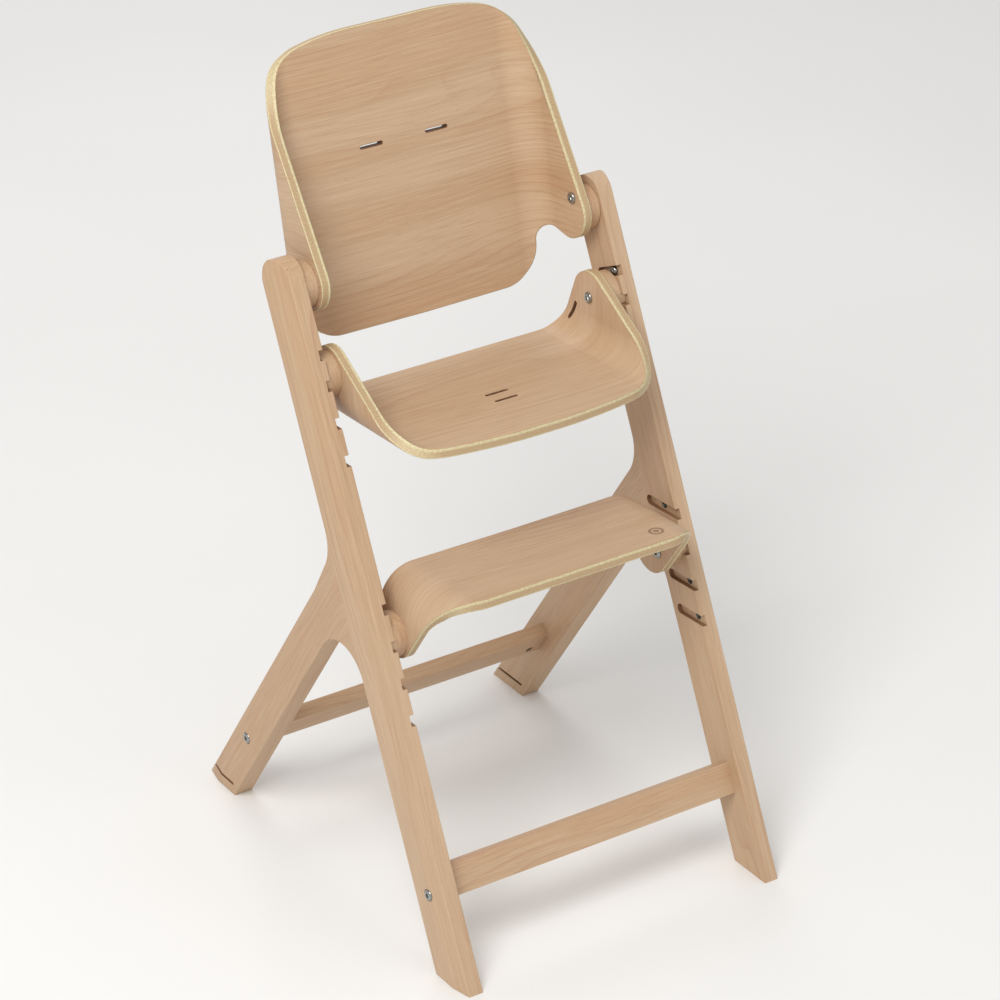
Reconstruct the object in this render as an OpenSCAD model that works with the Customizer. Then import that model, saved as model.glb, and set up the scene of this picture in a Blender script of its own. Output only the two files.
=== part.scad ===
// Wooden baby high chair: two A-shaped side frames joined by crossbars carry a
// backrest, a seat and a footrest of bent plywood. Millimetres, +Z up.
// The origin is on the floor, under the middle of the chair. The front faces -Y.
// Side-view points are [y, z], with y counted back from the toes of the front legs.

/* [Overall] */
// Clear width between the two side frames
clear_w = 400; // [380:5:420]
// Thickness of the side frame boards
board_t = 25; // [24:0.5:28]
// Depth over the feet
foot_depth = 580; // [570:5:590]

/* [Front legs] */
// Lean back from the vertical, in degrees
front_lean = 25.5; // [25:0.5:26]
// Width of the board
front_leg_w = 54.5; // [52:0.5:58]
// Length along the front edge
front_leg_l = 864; // [860:1:880]
// Width of the bevel along the outer front edge
front_bevel_w = 23; // [16:1:24]

/* [Rear legs] */
// Lean forward from the vertical, in degrees
rear_lean = 34.2; // [33.8:0.2:34.6]
// Width of the board
rear_leg_w = 55; // [52:0.5:58]
// Width of the bevel along the outer rear edge
rear_bevel_w = 21.5; // [16:0.5:22]
// Depth that both bevels reach into the outer face
bevel_drop = 6; // [3:0.5:7]
// Radius of the two inside corners between the legs
fillet_r = 50; // [40:1:55]
// Height of the saw slot in the rear foot above the floor
kerf_z = 15.3; // [12:0.5:18]
// Height of the saw slot
kerf_h = 3.4; // [2:0.2:4]
// Wood left in front of the saw slot
kerf_wall = 12; // [10:1:16]

/* [Grooves] */
// Height of a groove
groove_h = 12; // [11:0.5:13]
// Depth of a groove in the inner face
groove_d = 6; // [5:0.5:7]
// Fall of the grooves towards the rear, in degrees
groove_fall = 4; // [3:0.5:5]
// Distance between grooves along the leg
groove_pitch = 43.3; // [42:0.1:44]
// Lowest of the four lower grooves, along the front edge of the leg
lower_groove_s = 322.6; // [318:0.2:326]
// Lowest of the three upper grooves, along the front edge of the leg
upper_groove_s = 625.1; // [620:0.1:630]
// Stop groove near the top of the leg, along the front edge
stop_groove_s = 747; // [744:1:750]
// Length of a short groove
short_groove_l = 49; // [49:0.5:52]
// Length of a long groove
long_groove_l = 59; // [59:0.5:62]
// Insert behind the front edge of a short groove
short_insert = 15.5; // [14:0.5:17]
// Insert behind the front edge of a long groove
long_insert = 32; // [31:0.5:33]

/* [Plywood shells] */
// Thickness of the bent plywood
ply_t = 12; // [10:0.5:12.5]
// Inside radius of the bends of the seat and backrest
bend_r = 32; // [28:1:36]
// Inside radius of the bends of the footrest
foot_bend_r = 34; // [31:0.5:36]
// Tilt of the seat, in degrees, falling to the rear
seat_tilt = 3.4; // [2:0.2:5]
// Lean back of the backrest from the vertical, in degrees
back_lean = 12.25; // [8:0.25:16]
// Fall of the footrest towards the rear, in degrees
foot_tilt = 4.5; // [3:0.5:6]
// Length of a slot for a harness strap
slot_l = 30; // [25:1:35]
// Width of a slot for a harness strap
slot_w = 4; // [3:0.2:5]

/* [Discs and tongues] */
// Radius of the spacer discs
disc_r = 27; // [25:0.5:29]
// Gap between a moving piece and the frame
gap = 0.3; // [0.3:0.1:0.6]
// Depth of a tongue's slot in its disc
tongue_set = 4.5; // [3:0.5:6]

/* [Crossbars] */
// Thickness
bar_t = 18; // [18:1:20]
// Height of the front and rear crossbars
bar_h = 38; // [36:1:42]
// Middle of the front crossbar, up along the leg
front_bar_s = 131; // [125:1:140]
// Middle of the rear crossbar, up along the leg
rear_bar_s = 111; // [105:1:120]

/* [Screws] */
// Thread diameter of the seat, footrest and backrest bolts
bolt_d = 6; // [6:1:8]
// Head diameter of every button-head bolt
head_d = 14; // [13:0.5:14.5]
// Head height
head_h = 3; // [2.8:0.1:4]
// Depth of the shallow seats of the crossbar bolts' heads in the side frames
head_seat = 1.5; // [0.5:0.1:2]
// Outside diameter of a threaded insert
insert_d = 10; // [9.5:0.5:12]
// Length of a threaded insert
insert_l = 13; // [11:0.5:15]
// Thread diameter of the crossbar bolts
bar_bolt_d = 6; // [5:1:6]
// Diameter of a barrel nut
nut_d = 10; // [9:0.5:12]
// Diameter of a crossbar dowel
dowel_d = 8; // [6:1:8]

/* [Hidden] */
$fn = 48;
far = 400;                              // longer than any cut needs to be
inner_x = clear_w / 2;                  // inner face of the right side frame
outer_x = inner_x + board_t;            // outer face of the right side frame
disc_x = 183.5 + inner_x - 200;         // outer face of every shell wing
wing_x = disc_x - ply_t;                // inner face of a wing of the seat and backrest
floor_x = inner_x + groove_d;           // floor of the grooves
run_clear = 0.05;                       // radial clearance of the backrest on its bolts
fit_clear = 0.1;                        // radial clearance of the other bolts

// ---- Side-view points ----
function along(a) = [cos(a), sin(a)];
front_up = along(90 - front_lean);
front_back = along(-front_lean);
rear_up = along(90 + rear_lean);
groove_dir = along(-groove_fall);
front_round = [front_leg_w / 2, front_leg_l - front_leg_w / 2];   // centre of the round top, [w, s]
rear_toe = [foot_depth - rear_leg_w / cos(rear_lean), 0];
rear_heel = [foot_depth, 0];
function on_leg(w, s) = front_back * w + front_up * s;
function on_rear_leg(w, s) = rear_toe + along(rear_lean) * w + rear_up * s;
function cross2(a, b) = a[0] * b[1] - a[1] * b[0];
function meet(p, a, q, b) = p + a * cross2(q - p, b) / cross2(a, b);
crotch = meet(front_back * front_leg_w, front_up, rear_toe, rear_up);
notch = meet(front_back * front_leg_w, front_up, rear_heel, rear_up);
function in_groove(s, back) = on_leg(0, s) + groove_dir * back;

seat_groove_s = upper_groove_s + 2 * groove_pitch;
foot_groove_s = lower_groove_s + 2 * groove_pitch;
seat_pin = in_groove(seat_groove_s, long_insert);
foot_disc_back = short_insert + 15;
foot_pin = in_groove(foot_groove_s, foot_disc_back);
foot_bolt = in_groove(foot_groove_s, short_insert);
back_pin = on_leg(30.6, 827.3);
back_bolt = on_leg(14.1, 841.5);
stop_screw = on_leg(14, stop_groove_s);
tongue_h = groove_h - 2 * gap;

// Where each shell's flat lies from its disc's centre: [up the outline, out along the wing]
seat_hub = [-16.1, 52.8];
back_hub = [-12.5, 58.8];
foot_hub = [18.4, 66.1];

// ---- Outlines of the flat plywood, before it is bent ----
// A point is [v, u]: v across from the middle, u along the bend line.
function arc(c, r, a0, a1, n) = [for (i = [0:n]) c + r * along(a0 + (a1 - a0) * i / n)];
function unit(a) = a / norm(a);
function angle(a) = atan2(a[1], a[0]);
// A path through corners [v, u, radius], with the corners rounded; its ends stay sharp.
function rounded(c, n = 6) = [for (i = [0:len(c) - 1])
    let (p = [c[i][0], c[i][1]])
    if (i == 0 || i == len(c) - 1) p
    else let (
        a = unit(p - [c[i - 1][0], c[i - 1][1]]),
        b = unit([c[i + 1][0], c[i + 1][1]] - p),
        side = sign(cross2(a, b)),
        swing = acos(a * b),
        r = c[i][2],
        start = p - a * r * tan(swing / 2),
        centre = start + side * r * [-a[1], a[0]],
        from = angle(a) - side * 90)
    each arc(centre, r, from, from + side * swing, n)];
// Where the line from p touches a circle; side is 1 with the circle on the left of the line.
function touch(p, c, r, side) =
    c + r * along(angle(p - c) + side * acos(r / norm(p - c)));

shell_x1 = wing_x - bend_r;             // half width of the flat of the seat and backrest
shell_vw = shell_x1 + bend_r * PI / 2;  // where their wings start
foot_ref_r = foot_bend_r + ply_t;
foot_x1 = disc_x - foot_ref_r;
foot_vw = foot_x1 + foot_ref_r * PI / 2;

seat_ear = [shell_vw + seat_hub[1] - bend_r, seat_hub[0]];
seat_ear_r = 32;
seat_corner = [149.5, -164];
seat_rear = [153, 44.5];
seat_t1 = touch(seat_corner, seat_ear, seat_ear_r, 1);
seat_t2 = touch(seat_rear, seat_ear, seat_ear_r, -1);
seat_front = concat(
    rounded([[0, -181.5], [64, -181.5, 520], [seat_corner[0], seat_corner[1], 70], seat_t1]),
    arc(seat_ear, seat_ear_r, angle(seat_t1 - seat_ear) + 8, 0, 5));
seat_back = concat(
    arc(seat_ear, seat_ear_r, 8, angle(seat_t2 - seat_ear), 6),
    rounded([[seat_t2[0] - 1, seat_t2[1] + 0.5], [seat_rear[0], seat_rear[1], 60], [0, 44]]));

back_ear = [shell_vw + back_hub[1] - bend_r, back_hub[0]];
back_ear_r = 33;
back_corner = [152.6, 230.8];
back_neck = [158.5, -26.5];
back_t1 = touch(back_corner, back_ear, back_ear_r, -1);
back_t2 = touch(back_neck, back_ear, back_ear_r, 1);
back_top = concat(
    rounded([[0, 245.3], [86.6, 245.3, 320], [back_corner[0], back_corner[1], 60], back_t1]),
    arc(back_ear, back_ear_r, angle(back_t1 - back_ear) - 8, 0, 3));
back_bottom = concat(
    arc(back_ear, back_ear_r, -8, angle(back_t2 - back_ear), 8),
    rounded([[back_t2[0] - 1, back_t2[1] + 0.2], [back_neck[0], back_neck[1], 18.9],
        [back_neck[0], -101, 46], [0, -102.5]], 8));

foot_ear = [foot_vw + foot_hub[1] - foot_ref_r, foot_hub[0]];
foot_ear_r = 31;
foot_edge = -90.5;                      // straight front edge
foot_corner = [144, foot_edge];
foot_t1 = touch(foot_corner, foot_ear, foot_ear_r, 1);
foot_t2 = touch([0, 47], foot_ear, foot_ear_r, -1);
foot_front = concat(
    rounded([[0, foot_edge], [foot_corner[0], foot_corner[1], 60], foot_t1]),
    arc(foot_ear, foot_ear_r, angle(foot_t1 - foot_ear) + 8, 0, 5));
foot_rear = concat(arc(foot_ear, foot_ear_r, 8, angle(foot_t2 - foot_ear), 8), [[0, 47]]);

// ---- Helpers ----
// Side-view drawing to a board of thickness t, whose inner face is at x
module board(x, t) {
    translate([x, -foot_depth / 2, 0]) rotate([90, 0, 90]) linear_extrude(t) children();
}

// Pieces drawn along +X from x at side-view point p
module across(p, x) {
    translate([x, p[0] - foot_depth / 2, p[1]]) rotate([0, 90, 0]) children();
}

// The piece of one side: side is 1 for the right and -1 for the left
module on_side(side) {
    mirror([side < 0 ? 1 : 0, 0, 0]) children();
}

// Both the right and the left piece
module both_sides() {
    on_side(1) children();
    on_side(-1) children();
}

// Frame of a front leg: Y runs back across the leg, Z up along it
module front_leg_frame() {
    translate([0, -foot_depth / 2, 0]) rotate([-front_lean, 0, 0]) children();
}

// Frame of a rear leg
module rear_leg_frame() {
    translate([0, rear_toe[0] - foot_depth / 2, 0]) rotate([rear_lean, 0, 0]) children();
}

// ---- Side frames ----
module front_leg_outline() {
    rotate(-front_lean) {
        translate([0, -60]) square([front_leg_w, front_round[1] + 60]);
        translate(front_round) circle(front_leg_w / 2);
    }
}

module rear_leg_outline() {
    middle = front_back * front_leg_w / 2;
    polygon([rear_toe, rear_heel, notch, notch - middle, crotch - middle, crotch]);
}

// Rounds the inside corner at p between the directions a and b
module inside_fillet(p, a, b) {
    half = acos(a * b) / 2;
    middle = unit(a + b);
    reach = fillet_r / tan(half);
    difference() {
        polygon([p - middle * 3, p + a * reach, p + middle * fillet_r / sin(half), p + b * reach]);
        translate(p + middle * fillet_r / sin(half)) circle(fillet_r, $fn = 96);
    }
}

module frame_outline() {
    difference() {
        union() {
            front_leg_outline();
            rear_leg_outline();
            inside_fillet(crotch, -front_up, -rear_up);
            inside_fillet(notch, front_up, -rear_up);
        }
        translate([-far, -far]) square([3 * far, far]);
        kerf();
    }
}

module kerf() {
    back = rear_toe[0] - kerf_z * tan(rear_lean) + kerf_wall + kerf_h / 2;
    translate([back, kerf_z - kerf_h / 2]) square([far, kerf_h]);
    translate([back, kerf_z]) circle(kerf_h / 2);
}

module groove_outline(length) {
    translate([-10, -groove_h / 2]) square([length + 10 - groove_h / 2, groove_h]);
    translate([length - groove_h / 2, 0]) circle(groove_h / 2);
}

module grooves() {
    for (i = [0:3])
        translate(on_leg(0, lower_groove_s + i * groove_pitch)) rotate(-groove_fall)
            groove_outline(i == 3 ? long_groove_l : short_groove_l);
    for (i = [0:2])
        translate(on_leg(0, upper_groove_s + i * groove_pitch)) rotate(-groove_fall)
            groove_outline(long_groove_l);
    translate(on_leg(0, stop_groove_s)) rotate(-front_lean) groove_outline(42);
}

seat_inserts = concat(
    [for (i = [0:2]) in_groove(upper_groove_s + i * groove_pitch, long_insert)], [stop_screw]);
foot_inserts = [for (i = [0:3])
    in_groove(lower_groove_s + i * groove_pitch, i == 3 ? long_insert : short_insert)];

// A slanting cut that runs up an outer edge
module bevel(width) {
    translate([outer_x, 0, -100]) linear_extrude(1200)
        polygon([[1, -1], [-bevel_drop, -1], [-bevel_drop, 0], [0, width], [1, width]]);
}

// Room under a slanting plane, in which the rear bevel fades out below the notch
bevel_run = 10;                         // length of the run-out for each unit of depth
bevel_end = norm(notch - rear_heel) - fillet_r / tan(acos(-front_up * rear_up) / 2);
module run_out() {
    translate([outer_x, -10, bevel_end]) rotate([0, -atan(bevel_run), 0])
        translate([-2 * far, 0, -2 * far]) cube([4 * far, 60, 2 * far]);
}

module side_frame() {
    color("burlywood") difference() {
        board(inner_x, board_t) frame_outline();
        board(inner_x - 1, groove_d + 1) grooves();
        front_leg_frame() bevel(front_bevel_w);
        translate([0, foot_depth / 2, 0]) rotate([rear_lean, 0, 0]) mirror([0, 1, 0])
            intersection() {
                bevel(rear_bevel_w);
                run_out();
            }
        for (p = concat(seat_inserts, foot_inserts))
            across(p, floor_x - 0.5) cylinder(d = insert_d, h = insert_l + 0.5);
        across(back_bolt, inner_x - 1) cylinder(d = insert_d, h = insert_l + 1);
        for (p = [front_bar_bolt, rear_bar_bolt]) {
            across(p, inner_x - 1) cylinder(d = bar_bolt_d + 1, h = board_t + 2);
            across(p, outer_x - head_seat) cylinder(d = head_d + 0.8, h = 5);
        }
        for (p = [front_bar_dowel, rear_bar_dowel])
            across(p, inner_x - 1) cylinder(d = dowel_d, h = dowel_in + 1);
    }
}

// ---- Crossbars ----
bar_w = 26;                     // middle of a crossbar, back across its leg
bolt_low = 9;                   // bolts below, and dowels above, the middle of a crossbar
nut_in = 18;                    // barrel nuts in from the ends of a crossbar
nut_l = 15;
dowel_in = 14;                  // dowels in the side frame
dowel_out = 24;                 // dowels in the crossbar
front_bar_bolt = on_leg(bar_w, front_bar_s - bolt_low);
front_bar_dowel = on_leg(bar_w, front_bar_s + bolt_low);
rear_bar_bolt = on_rear_leg(bar_w + 2, rear_bar_s - bolt_low);
rear_bar_dowel = on_rear_leg(bar_w + 2, rear_bar_s + bolt_low);

// In a leg's frame; nut_side is 1 where the barrel nuts go in from the back
module crossbar(w, s, nut_side) {
    color("burlywood") difference() {
        translate([-inner_x, w - bar_t / 2, s - bar_h / 2]) cube([clear_w, bar_t, bar_h]);
        both_sides() {
            translate([inner_x - 45, w, s - bolt_low]) rotate([0, 90, 0])
                cylinder(d = bar_bolt_d + 1, h = 46);
            translate([inner_x - dowel_out, w, s + bolt_low]) rotate([0, 90, 0])
                cylinder(d = dowel_d, h = dowel_out + 1);
            translate([inner_x - nut_in, w + nut_side * bar_t / 2, s - bolt_low])
                rotate([nut_side * 90, 0, 0]) translate([0, 0, -1]) cylinder(d = nut_d, h = nut_l + 2);
        }
    }
}

module barrel_nuts(w, s, nut_side) {
    color("silver") both_sides() difference() {
        translate([inner_x - nut_in, w + nut_side * bar_t / 2, s - bolt_low])
            rotate([nut_side * 90, 0, 0]) translate([0, 0, 1]) cylinder(d = nut_d, h = nut_l);
        translate([inner_x - nut_in - nut_d, w, s - bolt_low]) rotate([0, 90, 0])
            cylinder(d = bar_bolt_d + 2 * run_clear, h = 2 * nut_d);
    }
}

module bar_dowels(p) {
    color("tan") both_sides() across(p, inner_x - dowel_out)
        cylinder(d = dowel_d, h = dowel_out + dowel_in);
}

// ---- Screws ----
// Button-head bolt along +Z, with the underside of its head at z = 0
module button_bolt(d, length) {
    difference() {
        union() {
            cylinder(d = d, h = length);
            translate([0, 0, -head_h / 3]) cylinder(d = head_d, h = head_h / 3);
            translate([0, 0, -head_h]) cylinder(d1 = head_d * 0.6, d2 = head_d, h = head_h * 2 / 3);
        }
        translate([0, 0, -head_h - 1]) cylinder(d = 5.8, h = 3.6, $fn = 6);
    }
}

module bar_bolts(p) {
    color("silver") both_sides() across(p, outer_x - head_seat) mirror([0, 0, 1])
        button_bolt(bar_bolt_d, board_t - head_seat + nut_in + nut_d);
}

module insert(p, x) {
    across(p, x) difference() {
        cylinder(d = insert_d, h = insert_l);
        translate([0, 0, -1]) cylinder(d = bolt_d + 2 * run_clear, h = insert_l - 0.5);
    }
}

module inserts(points, x) {
    color("silver") for (p = points) insert(p, x);
}

// Screw with a domed head, on the floor of the stop groove
stop_head_d = 11.4;
stop_head_h = 5;
module stop_screw_piece() {
    dome_r = (pow(stop_head_d / 2, 2) + pow(stop_head_h, 2)) / 2 / stop_head_h;
    color("silver") across(stop_screw, floor_x) difference() {
        union() {
            cylinder(d = bolt_d, h = insert_l - 2);
            intersection() {
                translate([0, 0, dome_r - stop_head_h]) sphere(dome_r);
                translate([0, 0, -stop_head_h]) cylinder(d = stop_head_d + 1, h = stop_head_h);
            }
        }
        translate([0, 0, -stop_head_h - 1]) cylinder(d = 4.6, h = 3.6, $fn = 6);
    }
}

// ---- Plywood shells ----
// A shell's frame puts its flat on z = 0, its bend lines along Y and its wings up.
// The hub of its discs lies at side-view point p.
module shell_frame(p, tilt, hub, down = false) {
    out = down ? -1 : 1;
    translate([0, p[0] - foot_depth / 2, p[1]]) rotate([tilt, 0, 0])
        translate([0, -hub[0], -out * hub[1]]) mirror([0, 0, down ? 1 : 0]) children();
}

// Section of the bent sheet: ref_r is the height of the bend centres above z = 0
module channel(in_r, ref_r, depth) {
    x1 = disc_x - ply_t - in_r;
    difference() {
        trough(disc_x, x1, in_r + ply_t, ref_r, depth);
        trough(disc_x - ply_t, x1, in_r, ref_r, depth + 1);
    }
}

module trough(half, x1, r, ref_r, depth) {
    translate([-x1, ref_r - r]) square([2 * x1, r + 1]);
    translate([-half, ref_r]) square([2 * half, depth - ref_r]);
    for (side = [-1, 1]) translate([side * x1, ref_r]) circle(r, $fn = 96);
}

// A path with added points where it crosses each of the values vs of v
function with_crossings(path, vs) = [for (i = [0:len(path) - 1])
    let (
        p = path[i],
        q = path[min(i + 1, len(path) - 1)],
        rising = q[0] > p[0],
        last = len(vs) - 1)
    each concat([p], [for (j = [0:last])
        let (v = rising ? vs[j] : vs[last - j])
        if ((p[0] - v) * (q[0] - v) < 0) p + (q - p) * (v - p[0]) / (q[0] - p[0])])];

// The bent sheet, cut to the developed outline given as its two halves a and b. The flat
// and the start of the bends are cut from above, the wings and the rest from the side.
module bent_sheet(a, b, in_r, ref_r) {
    x1 = disc_x - ply_t - in_r;
    mid_r = in_r + ply_t / 2;
    vw = x1 + ref_r * PI / 2;
    top_end = 60;               // last angle of the bend that is cut from above
    side_start = 30;            // first angle that is cut from the side
    tiny = 0.001;
    up = sign(a[0][1]) * far;
    phi = function (v) (v - x1) / ref_r * 180 / PI;
    top_x = function (v) v <= x1 ? v : x1 + mid_r * sin(phi(v));
    side_z = function (v) v >= vw ? ref_r + v - vw : ref_r - mid_r * cos(phi(v));
    edge_x = x1 + mid_r * sin(top_end);
    edge_z = ref_r - mid_r * cos(side_start);
    steps = [for (angle = [0:15:90]) x1 + ref_r * angle * PI / 180];
    a_fine = with_crossings(a, steps);
    b_fine = with_crossings(b, steps);
    half = concat(
        [for (p = a_fine) if (phi(p[0]) <= top_end + tiny) [top_x(p[0]), p[1]]],
        [[edge_x, up], [far, up], [far, -up], [edge_x, -up]],
        [for (p = b_fine) if (phi(p[0]) <= top_end + tiny) [top_x(p[0]), p[1]]]);
    side = concat(
        [[up, -far / 4], [up, edge_z]],
        [for (p = a_fine) if (phi(p[0]) >= side_start - tiny) [p[1], side_z(p[0])]],
        [for (p = b_fine) if (phi(p[0]) >= side_start - tiny) [p[1], side_z(p[0])]],
        [[-up, edge_z], [-up, -far / 4]]);
    top = concat(half, [for (i = [len(half) - 1:-1:0]) if (half[i][0] > 0) [-half[i][0], half[i][1]]]);
    intersection() {
        translate([0, far, 0]) rotate([90, 0, 0]) linear_extrude(2 * far)
            channel(in_r, ref_r, 120);
        translate([0, 0, -far / 4]) linear_extrude(far) polygon(top);
        translate([-far, 0, 0]) rotate([90, 0, 90]) linear_extrude(2 * far) polygon(side);
    }
}

// A slot with round ends through the flat
module slot(x, u) {
    translate([x, u, -far / 4]) linear_extrude(far / 2) {
        square([slot_l - slot_w, slot_w], center = true);
        for (side = [-1, 1]) translate([side * (slot_l - slot_w) / 2, 0]) circle(slot_w / 2);
    }
}

module wing_bores(p, clear) {
    across(p, -far) cylinder(d = bolt_d + 2 * clear, h = 2 * far);
}

// Wooden pegs that hold a disc square on its wing, at side-view points
peg_d = 6;
peg_in = 5.5;                   // in the wing
peg_out = 7;                    // in the disc
module pegs(points) {
    both_sides() for (p = points) across(p, disc_x - peg_in) cylinder(d = peg_d, h = peg_in + peg_out);
}
back_pegs = [back_pin + along(20) * 14, back_pin + along(-100) * 16];
seat_pegs = [seat_pin + along(90) * 17, seat_pin - along(90) * 17];
foot_pegs = [foot_pin + along(60) * 16, foot_pin + along(-60) * 16];

module backrest_shell() {
    color("tan") difference() {
        shell_frame(back_pin, 90 - back_lean, back_hub) difference() {
            bent_sheet(back_top, back_bottom, bend_r, bend_r);
            for (side = [-1, 1]) slot(side * 44, 107.4);
        }
        wing_bores(back_bolt, run_clear);
        pegs(back_pegs);
    }
}

module seat_shell() {
    color("tan") difference() {
        shell_frame(seat_pin, -seat_tilt, seat_hub) difference() {
            bent_sheet(seat_front, seat_back, bend_r, bend_r);
            slot(0, -76.5);
            slot(0, -96.5);
            both_sides() strap_slot();
        }
        wing_bores(seat_pin, fit_clear);
        pegs(seat_pegs);
    }
}

// Strap slot in a bend of the seat, parallel to the slanting rear edge
module strap_slot() {
    translate([shell_x1, 16, 26.4]) rotate([23.5, 0, 0]) translate([0, -slot_w / 2, -12.5])
        cube([80, slot_w, 25]);
}

module footrest_shell() {
    color("tan") difference() {
        shell_frame(foot_pin, -foot_tilt, foot_hub, down = true)
            bent_sheet(foot_front, foot_rear, foot_bend_r, foot_ref_r);
        wing_bores(foot_bolt, fit_clear);
        pegs(foot_pegs);
    }
}

// ---- Discs and tongues ----
// A spacer disc at p, bored for a bolt at hole; tongue is [front, rear] of its tongue from p
module disc(p, hole, clear, peg_points, tongue) {
    color("burlywood") difference() {
        across(p, disc_x) cylinder(r = disc_r, h = inner_x - gap - disc_x, $fn = 96);
        across(hole, disc_x - 1) cylinder(d = bolt_d + 2 * clear, h = 30);
        pegs(peg_points);
        if (len(tongue) == 2)
            board(inner_x - gap - tongue_set, 20) tongue_outline(p, [-far, tongue[1]]);
    }
}

// Straight at the front and round at the rear
module tongue_outline(p, ends) {
    translate(p) rotate(-groove_fall) {
        translate([ends[0], -tongue_h / 2])
            square([ends[1] - ends[0] - tongue_h / 2, tongue_h]);
        translate([ends[1] - tongue_h / 2, 0]) circle(tongue_h / 2);
    }
}

module tongue(p, hole, ends) {
    color("tan") difference() {
        board(inner_x - gap - tongue_set, tongue_set + gap + groove_d - gap)
            tongue_outline(p, ends);
        across(hole, disc_x) cylinder(d = bolt_d + 2 * fit_clear, h = 40);
    }
}

seat_tongue = [-26.5, 26.5];
foot_tongue = [-26.5, 17.8];

module seat_or_foot_bolt(p, x) {
    color("silver") across(p, x) button_bolt(bolt_d, floor_x - gap - x);
}

// ---- Nodes ----
module left_side_frame() on_side(-1) side_frame();
module right_side_frame() on_side(1) side_frame();
module front_crossbar() front_leg_frame() crossbar(bar_w, front_bar_s, 1);
module rear_crossbar() rear_leg_frame() crossbar(bar_w + 2, rear_bar_s, -1);
module front_crossbar_bolts() bar_bolts(front_bar_bolt);
module rear_crossbar_bolts() bar_bolts(rear_bar_bolt);
module front_barrel_nuts() front_leg_frame() barrel_nuts(bar_w, front_bar_s, 1);
module rear_barrel_nuts() rear_leg_frame() barrel_nuts(bar_w + 2, rear_bar_s, -1);
module front_crossbar_dowels() bar_dowels(front_bar_dowel);
module rear_crossbar_dowels() bar_dowels(rear_bar_dowel);
module left_seat_inserts() on_side(-1) inserts(seat_inserts, floor_x);
module right_seat_inserts() on_side(1) inserts(seat_inserts, floor_x);
module left_footrest_inserts() on_side(-1) inserts(foot_inserts, floor_x);
module right_footrest_inserts() on_side(1) inserts(foot_inserts, floor_x);
module left_backrest_insert() on_side(-1) inserts([back_bolt], inner_x);
module right_backrest_insert() on_side(1) inserts([back_bolt], inner_x);
module left_stop_screw() on_side(-1) stop_screw_piece();
module right_stop_screw() on_side(1) stop_screw_piece();
module backrest_bolt() {
    x = wing_x - 0.2;
    color("silver") across(back_bolt, x) button_bolt(bolt_d, inner_x + insert_l - 2 - x);
}
module left_backrest_disc() on_side(-1) disc(back_pin, back_bolt, run_clear, back_pegs, []);
module right_backrest_disc() on_side(1) disc(back_pin, back_bolt, run_clear, back_pegs, []);
module left_backrest_bolt() on_side(-1) backrest_bolt();
module right_backrest_bolt() on_side(1) backrest_bolt();
module backrest_disc_dowels() color("tan") pegs(back_pegs);
module left_seat_disc() on_side(-1) disc(seat_pin, seat_pin, fit_clear, seat_pegs, seat_tongue);
module right_seat_disc() on_side(1) disc(seat_pin, seat_pin, fit_clear, seat_pegs, seat_tongue);
module left_seat_tongue() on_side(-1) tongue(seat_pin, seat_pin, seat_tongue);
module right_seat_tongue() on_side(1) tongue(seat_pin, seat_pin, seat_tongue);
module left_seat_bolt() on_side(-1) seat_or_foot_bolt(seat_pin, wing_x);
module right_seat_bolt() on_side(1) seat_or_foot_bolt(seat_pin, wing_x);
module seat_disc_dowels() color("tan") pegs(seat_pegs);
module left_footrest_disc() on_side(-1) disc(foot_pin, foot_bolt, fit_clear, foot_pegs, foot_tongue);
module right_footrest_disc() on_side(1) disc(foot_pin, foot_bolt, fit_clear, foot_pegs, foot_tongue);
module left_footrest_tongue() on_side(-1) tongue(foot_pin, foot_bolt, foot_tongue);
module right_footrest_tongue() on_side(1) tongue(foot_pin, foot_bolt, foot_tongue);
module left_footrest_bolt() on_side(-1) seat_or_foot_bolt(foot_bolt, wing_x);
module right_footrest_bolt() on_side(1) seat_or_foot_bolt(foot_bolt, wing_x);
module footrest_disc_dowels() color("tan") pegs(foot_pegs);

left_side_frame();
right_side_frame();
front_crossbar();
rear_crossbar();
front_crossbar_bolts();
rear_crossbar_bolts();
front_barrel_nuts();
rear_barrel_nuts();
front_crossbar_dowels();
rear_crossbar_dowels();
left_seat_inserts();
right_seat_inserts();
left_footrest_inserts();
right_footrest_inserts();
left_backrest_insert();
right_backrest_insert();
left_stop_screw();
right_stop_screw();
backrest_shell();
left_backrest_disc();
right_backrest_disc();
left_backrest_bolt();
right_backrest_bolt();
backrest_disc_dowels();
seat_shell();
left_seat_disc();
right_seat_disc();
left_seat_tongue();
right_seat_tongue();
left_seat_bolt();
right_seat_bolt();
seat_disc_dowels();
footrest_shell();
left_footrest_disc();
right_footrest_disc();
left_footrest_tongue();
right_footrest_tongue();
left_footrest_bolt();
right_footrest_bolt();
footrest_disc_dowels();
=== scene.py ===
import math

import bmesh
import bpy
from mathutils import Matrix, Vector
from mathutils.geometry import delaunay_2d_cdt

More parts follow.
